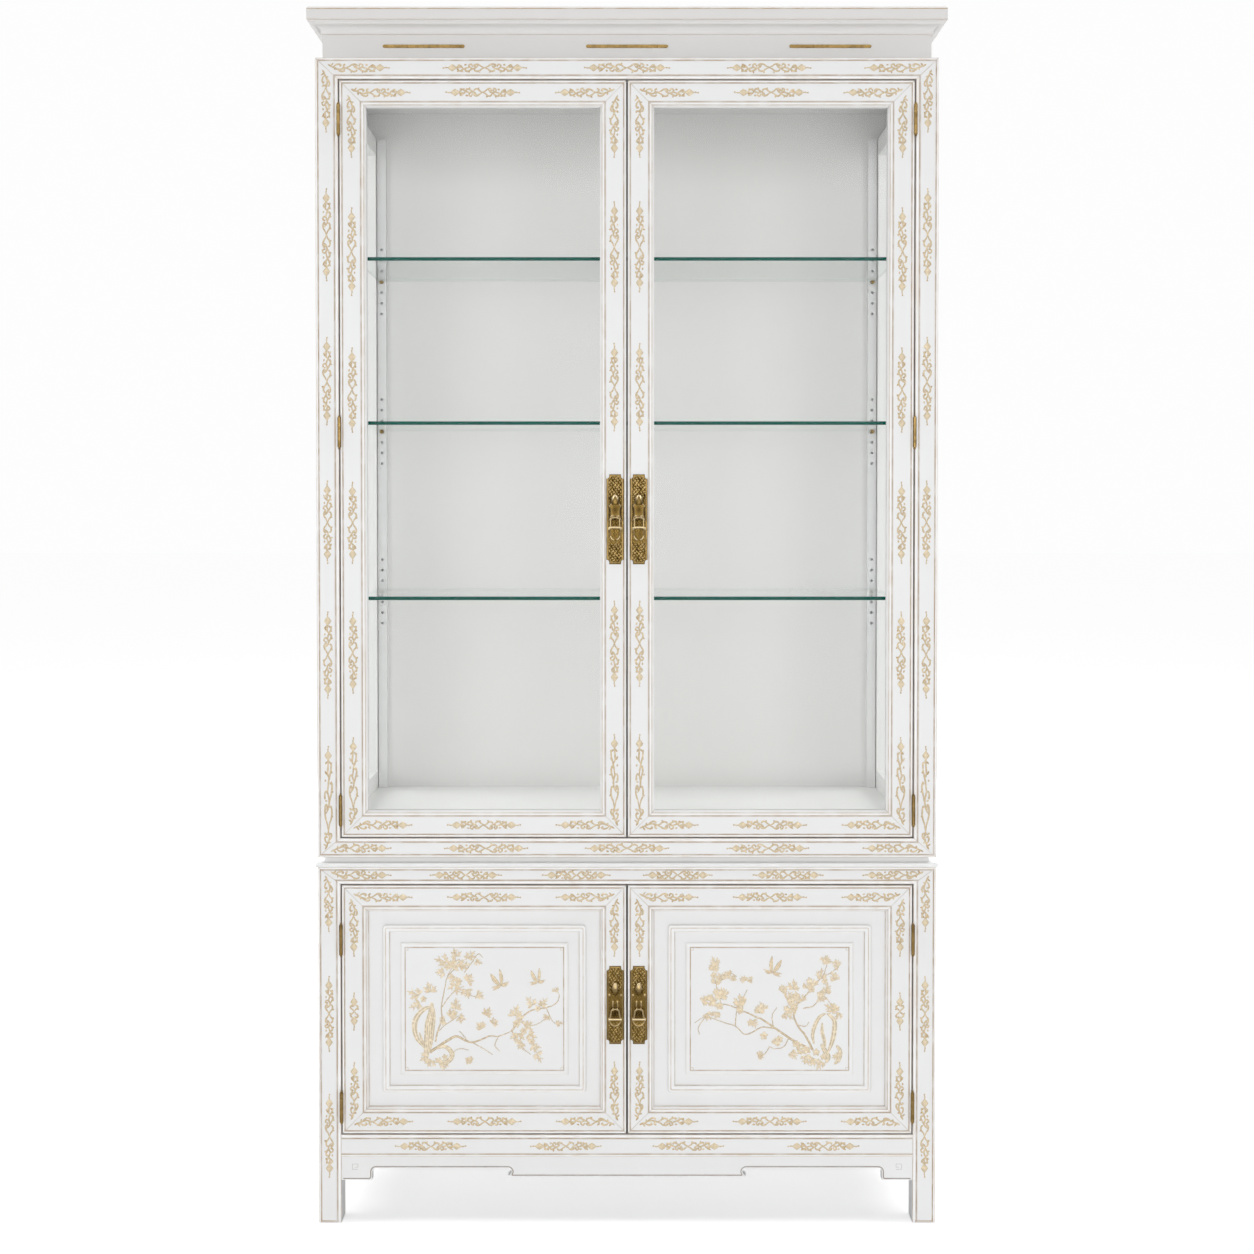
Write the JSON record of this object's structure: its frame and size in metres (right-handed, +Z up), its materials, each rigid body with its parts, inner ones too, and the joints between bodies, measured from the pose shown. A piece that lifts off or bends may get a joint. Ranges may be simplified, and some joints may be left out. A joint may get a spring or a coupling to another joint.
{
  "type": "hutch cabinet",
  "caption": "Display hutch: glazed upper case with hinged doors and glass shelves over a panelled cupboard on legs, with crown moulding, brass hinges and stirrup pulls.",
  "frame": {"origin": "on the floor, in the middle of the object's own box", "axes": "+X to the right seen from the front, +Y to the back, +Z up"},
  "size_m": [1.06, 0.3992, 2.032],
  "materials": {
    "white_lacquer": "satin white lacquer on wood with worn brown edges",
    "shade_lacquer": "plain off-white lacquer inside and at the back",
    "antique_brass": "antique brass, darkened in its hollows and bright on its edges",
    "clear_glass": "clear float glass with green edges",
    "catch_steel": "plated steel face of a magnet catch"
  },
  "bodies": {
    "case": {"crown_top_board": "white_lacquer", "crown_moulding": "white_lacquer", "frieze_boards": "white_lacquer", "frieze_brass_strips": "antique_brass", "upper_top_panel": "shade_lacquer", "upper_front_stile_left": "white_lacquer", "upper_front_stile_right": "white_lacquer", "upper_front_top_rail": "white_lacquer", "upper_front_bottom_rail": "white_lacquer", "upper_rear_posts": "white_lacquer", "upper_side_rails": "white_lacquer", "side_glazing_frames": "white_lacquer", "side_glass_panes": "clear_glass", "upper_back_panel": "shade_lacquer", "upper_floor_board": "white_lacquer", "upper_base_plinth": "shade_lacquer", "glass_shelf_top": "clear_glass", "glass_shelf_middle": "clear_glass", "glass_shelf_bottom": "clear_glass", "shelf_standards": "white_lacquer", "shelf_pins": "antique_brass", "lower_top_board": "white_lacquer", "leg_front_left": "white_lacquer", "leg_front_right": "white_lacquer", "legs_rear": "white_lacquer", "lower_front_top_rail": "white_lacquer", "lower_front_bottom_rail": "white_lacquer", "front_apron": "white_lacquer", "side_aprons": "white_lacquer", "lower_side_rails": "white_lacquer", "lower_side_panels": "white_lacquer", "lower_back_panel": "shade_lacquer", "lower_floor_board": "white_lacquer", "lower_shelf": "white_lacquer", "case_hinge_leaves": "antique_brass", "hinge_pins": "antique_brass", "door_catches": "catch_steel"},
    "upper_left_door": {"upper_left_door_frame": "white_lacquer", "upper_left_door_glass": "clear_glass", "upper_left_glazing_beads": "white_lacquer", "upper_left_hinge_leaves": "antique_brass", "upper_left_backplate": "antique_brass"},
    "upper_left_pull": {"upper_left_pull": "antique_brass"},
    "upper_right_door": {"upper_right_door_frame": "white_lacquer", "upper_right_door_glass": "clear_glass", "upper_right_glazing_beads": "white_lacquer", "upper_right_hinge_leaves": "antique_brass", "upper_right_backplate": "antique_brass"},
    "upper_right_pull": {"upper_right_pull": "antique_brass"},
    "lower_left_door": {"lower_left_door_frame": "white_lacquer", "lower_left_door_panel": "white_lacquer", "lower_left_hinge_leaves": "antique_brass", "lower_left_backplate": "antique_brass"},
    "lower_left_pull": {"lower_left_pull": "antique_brass"},
    "lower_right_door": {"lower_right_door_frame": "white_lacquer", "lower_right_door_panel": "white_lacquer", "lower_right_hinge_leaves": "antique_brass", "lower_right_backplate": "antique_brass"},
    "lower_right_pull": {"lower_right_pull": "antique_brass"}
  },
  "joints": [
    {"name": "upper_left_door_hinge", "type": "hinge", "parent": "case", "child": "upper_left_door", "pos_m": [-0.479, -0.1877, 0.6959], "axis": [0, 0, -1], "range_deg": [0, 110]},
    {"name": "upper_left_pull_pivot", "type": "hinge", "parent": "upper_left_door", "child": "upper_left_pull", "pos_m": [-0.0198, -0.1964, 1.1859], "axis": [-1, 0, 0], "range_deg": [0, 75]},
    {"name": "upper_right_door_hinge", "type": "hinge", "parent": "case", "child": "upper_right_door", "pos_m": [0.479, -0.1877, 0.6959], "axis": [0, 0, 1], "range_deg": [0, 110]},
    {"name": "upper_right_pull_pivot", "type": "hinge", "parent": "upper_right_door", "child": "upper_right_pull", "pos_m": [0.0198, -0.1964, 1.1859], "axis": [-1, 0, 0], "range_deg": [0, 75]},
    {"name": "lower_left_door_hinge", "type": "hinge", "parent": "case", "child": "lower_left_door", "pos_m": [-0.479, -0.1877, 0.196], "axis": [0, 0, -1], "range_deg": [0, 110]},
    {"name": "lower_left_pull_pivot", "type": "hinge", "parent": "lower_left_door", "child": "lower_left_pull", "pos_m": [-0.0198, -0.1964, 0.364], "axis": [-1, 0, 0], "range_deg": [0, 75]},
    {"name": "lower_right_door_hinge", "type": "hinge", "parent": "case", "child": "lower_right_door", "pos_m": [0.479, -0.1877, 0.196], "axis": [0, 0, 1], "range_deg": [0, 110]},
    {"name": "lower_right_pull_pivot", "type": "hinge", "parent": "lower_right_door", "child": "lower_right_pull", "pos_m": [0.0198, -0.1964, 0.364], "axis": [-1, 0, 0], "range_deg": [0, 75]}
  ]
}
